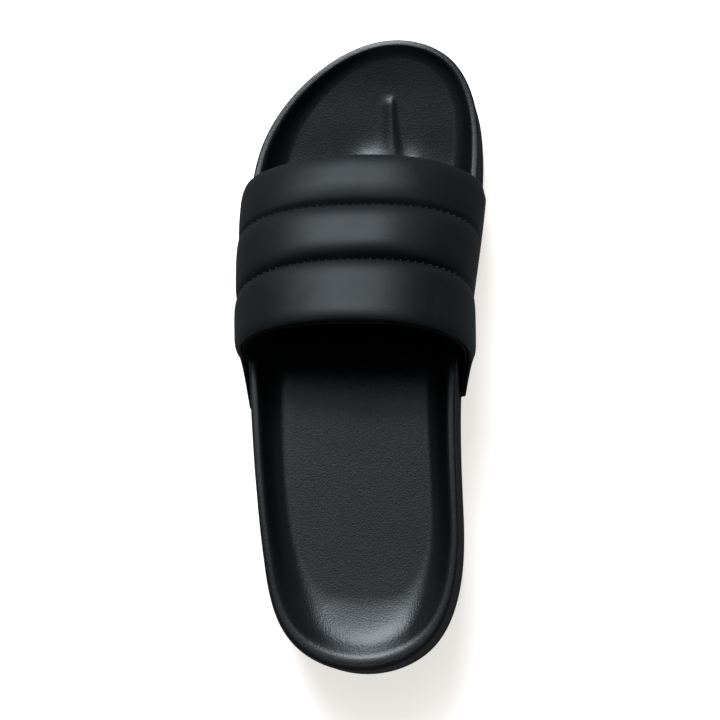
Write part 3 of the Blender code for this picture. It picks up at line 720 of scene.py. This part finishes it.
def paddedThickness(within, channel, width, run):  # mm above the lining, and the share of full padding
    puffs = np.array(strap["channels"])
    crownPuff, sideLeft = puffs[channel].T[:, :, None]
    first = channel[:, None] == 0
    last = channel[:, None] == len(puffs) - 1
    frontPower = np.append(1.0, strap["frontPower"])[channel][:, None]
    rearPower = np.append(strap["rearPower"], 1.0)[channel][:, None]
    fromMiddle = np.abs(2 * within - 1)
    ahead = np.where(first, 1.0, 1 - fromMiddle ** frontPower)
    behind = np.where(last, 1.0, 1 - fromMiddle ** rearPower)
    onSides = sideLeft * (1 - wallShare)
    fade = np.where(zone == onArch, between((sideLeft, 1), np.sin(zoneShare) ** strap["fade"]), onSides)
    padded = np.clip(fade, 0.0, 1.0) * np.where(within < 0.5, ahead, behind)
    fromSeam = np.minimum(np.where(first, 1.0, within), np.where(last, 1.0, 1 - within)) * width
    plain = strap["seamThickness"] - strap["pinch"] * np.exp(-(fromSeam / strap["pinchReach"]) ** 2)
    thickness = between((plain, strap["endThickness"]), wallShare) + crownPuff * padded

    # gathers behind each stitched seam and a slow swell along each channel
    fromStitch = fromSeam - within[coverLook["stitchRow"]] * width
    gather = np.exp(-(fromStitch / coverLook["puckerReach"]) ** 2) * ((within < 0.5) & ~first)
    gather = gather * np.cos(2 * math.pi * run / coverLook["stitchPitch"])
    thickness += coverLook["pucker"] * gather * np.clip(fade * coverLook["puckerFade"], 0, 1)
    for share, length, turn, start in coverLook["swellWaves"]:
        wave = np.sin(run / length + turn * channel[:, None] + start)
        thickness += coverLook["swell"] * share * wave * padded
    return thickness, padded


def creaseDepth(cover):
    depth = np.zeros(cover.shape[:2])
    for x0, y0, x1, y1, reach, deepest in coverLook["creases"]:
        line = np.array([x1 - x0, y1 - y0])
        offset = cover[:, :, :2] - (x0, y0)
        share = np.clip(offset @ line / line.dot(line), 0, 1)
        aside = np.linalg.norm(offset - share[:, :, None] * line, axis=2)
        along = np.sin(math.pi * between(coverLook["creaseEnds"], share))
        depth += deepest * np.exp(-(aside / reach) ** 2) * along
    return depth


def makeStrap():
    within, channel = channelRows()
    crownShare, sideShare = np.array(strap["seams"]).T
    atSeam = between((crownShare[:, None], sideShare[:, None]), sideways)
    start = atSeam[channel]
    end = atSeam[channel + 1]
    lipShare = strap["lip"] / strapWidth
    share = between((lipShare, 1 - lipShare), between((start, end), within))
    lining = liningGrid(share)
    normal = outwards(lining)
    middleRow = lining[len(lining) // 2]
    run = np.append(0, np.cumsum(np.linalg.norm(np.diff(middleRow, axis=0), axis=1)))

    thickness, padded = paddedThickness(within, channel, (end - start) * strapWidth, run)
    thickness *= edgeRoll(share * strapWidth, *strap["frontRoll"])
    thickness *= edgeRoll((1 - share) * strapWidth, *strap["rearRoll"])
    cover = lining + normal * thickness[:, :, None]
    cover -= normal * (creaseDepth(cover) * (zone == onArch) * padded)[:, :, None]
    inner = lining + normal * (strap["lining"] + strap["liningClear"] + rearLift(share))[:, :, None]
    points, faces = closedSlab(inner, cover)
    piece = newPiece("strapCover", points, faces, [makeCoatedCloth()])
    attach(piece, "root")
    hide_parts("upper_strap")
    print("strap cover made:", len(faces), "faces")

    seamRows = strap["channelRows"] * np.arange(1, len(strap["channels"])) + coverLook["stitchRow"]
    return [(cover[row], normal[row], run) for row in seamRows]


def makeLining():  # a thin sheet inside the strap that stands out a little at its front and rear edges
    rows = np.linspace(0, 1, strap["liningRows"])[:, None] + np.zeros(len(zone))
    grid = liningGrid(rows)
    normal = outwards(grid)
    grid = grid + normal * rearLift(rows)[:, :, None]
    depth = np.full(len(grid), strap["lining"])
    depth[[0, -1]] *= strap["liningEdge"]
    points, faces = closedSlab(grid + normal * strap["liningBase"], grid + normal * depth[:, None, None])
    liningPiece = newPiece("strapLining", points, faces, [makeKnitLining()])
    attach(liningPiece, "root")
    print("lining made:", len(faces), "faces")


# Lock stitches along both seams, each sunk at its ends, in mm.
stitchLook = {
    "length": 1.7, "radius": 0.3, "endShare": 0.55, "rise": 0.75, "sink": 0.4, "startHeight": 15.0,
    "sides": 8, "steps": 7,
}


def makeStitches(seams):
    pitch = coverLook["stitchPitch"]
    bow = np.sin(np.linspace(0, math.pi, stitchLook["steps"]))
    reach = np.linspace(-0.5, 0.5, stitchLook["steps"]) * stitchLook["length"]
    angles = np.linspace(0, 2 * math.pi, stitchLook["sides"], endpoint=False)
    radii = stitchLook["radius"] * between((stitchLook["endShare"], 1), bow)
    points = []
    faces = []
    for path, normal, run in seams:
        sewn = run[(path[:, 2] > stitchLook["startHeight"]) & (zone >= onWall)]
        for stitch in range(math.ceil(sewn[0] / pitch), math.floor(sewn[-1] / pitch) + 1):
            at = stitch * pitch + reach
            centre = np.column_stack([np.interp(at, run, path[:, axis]) for axis in range(3)])
            up = np.column_stack([np.interp(at, run, normal[:, axis]) for axis in range(3)])
            up /= np.linalg.norm(up, axis=1)[:, None]
            centre = centre + up * (stitchLook["rise"] * bow - stitchLook["sink"])[:, None]
            ahead = np.gradient(centre, axis=0)
            ahead /= np.linalg.norm(ahead, axis=1)[:, None]
            aside = np.cross(ahead, up)
            first = len(points)
            for middle, high, wide, radius in zip(centre, up, aside, radii):
                points += [middle + radius * (high * math.cos(a) + wide * math.sin(a)) for a in angles]
            tube = tubeFaces(stitchLook["steps"], stitchLook["sides"])
            faces += [[first + i for i in face] for face in tube]
    piece = newPiece("seamStitches", points, faces, [makeSewingThread()])
    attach(piece, "root")
    print("stitches made:", len(faces), "faces")


# Camera at the picture's angle: place in the last's mm, then degrees and pixels of the frame.
view = {
    "place": (61.2, -32.9, 695.5), "tilt": 75.0, "focal": 1641.6, "frame": 720, "middle": (205.0, 400.0),
    "sensor": 36.0, "farClip": 20.0,  # mm, m
}


def makeCamera():
    tilt = math.radians(view["tilt"])
    ahead = Vector((0, math.cos(tilt), -math.sin(tilt)))
    up = Vector((0, math.sin(tilt), math.cos(tilt)))
    right = Vector((1, 0, 0))
    half = view["frame"] / 2
    aim = ahead * view["focal"] + right * (view["middle"][0] - half) + up * (half - view["middle"][1])
    aim.normalize()
    side = aim.cross(up).normalized()
    turn = Matrix((side, side.cross(aim), -aim)).transposed()
    data = bpy.data.cameras.new("camera")
    data.sensor_fit = "HORIZONTAL"
    data.sensor_width = view["sensor"]
    data.lens = view["sensor"] * view["focal"] / view["frame"]
    data.clip_end = view["farClip"]
    camera = bpy.data.objects.new("camera", data)
    camera.matrix_world = Matrix.Translation((np.array(view["place"]) + lastToRow) * mm) @ turn.to_4x4()
    bpy.context.scene.collection.objects.link(camera)
    bpy.context.scene.camera = camera
    print("camera set")


# Pale studio floor, matt and lit from below as a light table is, so the ground stays white.
floorLook = {"colour": "#fffaf5", "size": 60.0, "glow": 0.7, "roughness": 0.9, "specular": 0.1}


def makeFloor():
    half = floorLook["size"] / 2
    mesh = bpy.data.meshes.new("floor")
    corners = [(-half, -half, 0), (half, -half, 0), (half, half, 0), (-half, half, 0)]
    mesh.from_pydata(corners, [], [(0, 1, 2, 3)])
    material, tree = newMaterial("paleStudioFloor")
    shader = addNode(tree, "ShaderNodeBsdfPrincipled", {
        "Base Color": hexColour(floorLook["colour"]), "Roughness": floorLook["roughness"],
        "Specular IOR Level": floorLook["specular"],
        "Emission Color": hexColour(floorLook["colour"]), "Emission Strength": floorLook["glow"]})
    addNode(tree, "ShaderNodeOutputMaterial", links={"Surface": shader.outputs["BSDF"]})
    mesh.materials.append(material)
    floor = bpy.data.objects.new("floor", mesh)
    bpy.context.scene.collection.objects.link(floor)
    floor.visible_diffuse = floor.visible_glossy = False  # no bounce, so the low sides stay dark
    print("floor laid")


# Soft studio light: a large box on the toe side, a weaker one above it and a broad one overhead.
# The surroundings are dim.
lighting = {
    "colour": "#eef8ff", "target": (0, 0, 0.02),
    "below": 0.2, "above": 0.13, "horizon": (-0.15, 0.05),  # surroundings, and where one turns to the other
    "boxes": [  # name, place m, size m, watts
        ("toeBox", (-0.25, 0.93, 0.80), (0.80, 0.70), 14.8),
        ("shoulderBox", (-0.22, 0.76, 1.18), (0.80, 0.55), 5.2),
        ("topBox", (-0.15, 0.54, 1.5), (1.2, 0.84), 2.5)],
}


def makeLight():
    world = bpy.data.worlds.new("studio")
    world.use_nodes = True
    tree = world.node_tree
    background = tree.nodes["Background"]
    background.inputs["Color"].default_value = hexColour(lighting["colour"])
    direction = addNode(tree, "ShaderNodeTexCoord").outputs["Generated"]
    height = addNode(tree, "ShaderNodeSeparateXYZ", links={"Vector": direction})
    strength = addNode(tree, "ShaderNodeMapRange", {
        "From Min": lighting["horizon"][0], "From Max": lighting["horizon"][1],
        "To Min": lighting["below"], "To Max": lighting["above"]}, {"Value": height.outputs["Z"]})
    tree.links.new(strength.outputs["Result"], background.inputs["Strength"])
    bpy.context.scene.world = world
    for name, place, (wide, deep), watts in lighting["boxes"]:
        data = bpy.data.lights.new(name, "AREA")
        data.shape = "ELLIPSE"
        data.size = wide
        data.size_y = deep
        data.energy = watts
        data.color = hexColour(lighting["colour"])[:3]
        light = bpy.data.objects.new(name, data)
        light.location = place
        towards = Vector(lighting["target"]) - Vector(place)
        light.rotation_euler = towards.to_track_quat("-Z", "Y").to_euler()
        bpy.context.scene.collection.objects.link(light)
    bpy.context.scene.view_settings.view_transform = "Standard"
    print("lights set:", len(lighting["boxes"]))


makeCamera()
makeFloor()
makeLight()
makeOutsole()
makeFootbed()
seams = makeStrap()
makeLining()
makeStitches(seams)

bpy.context.view_layer.update()
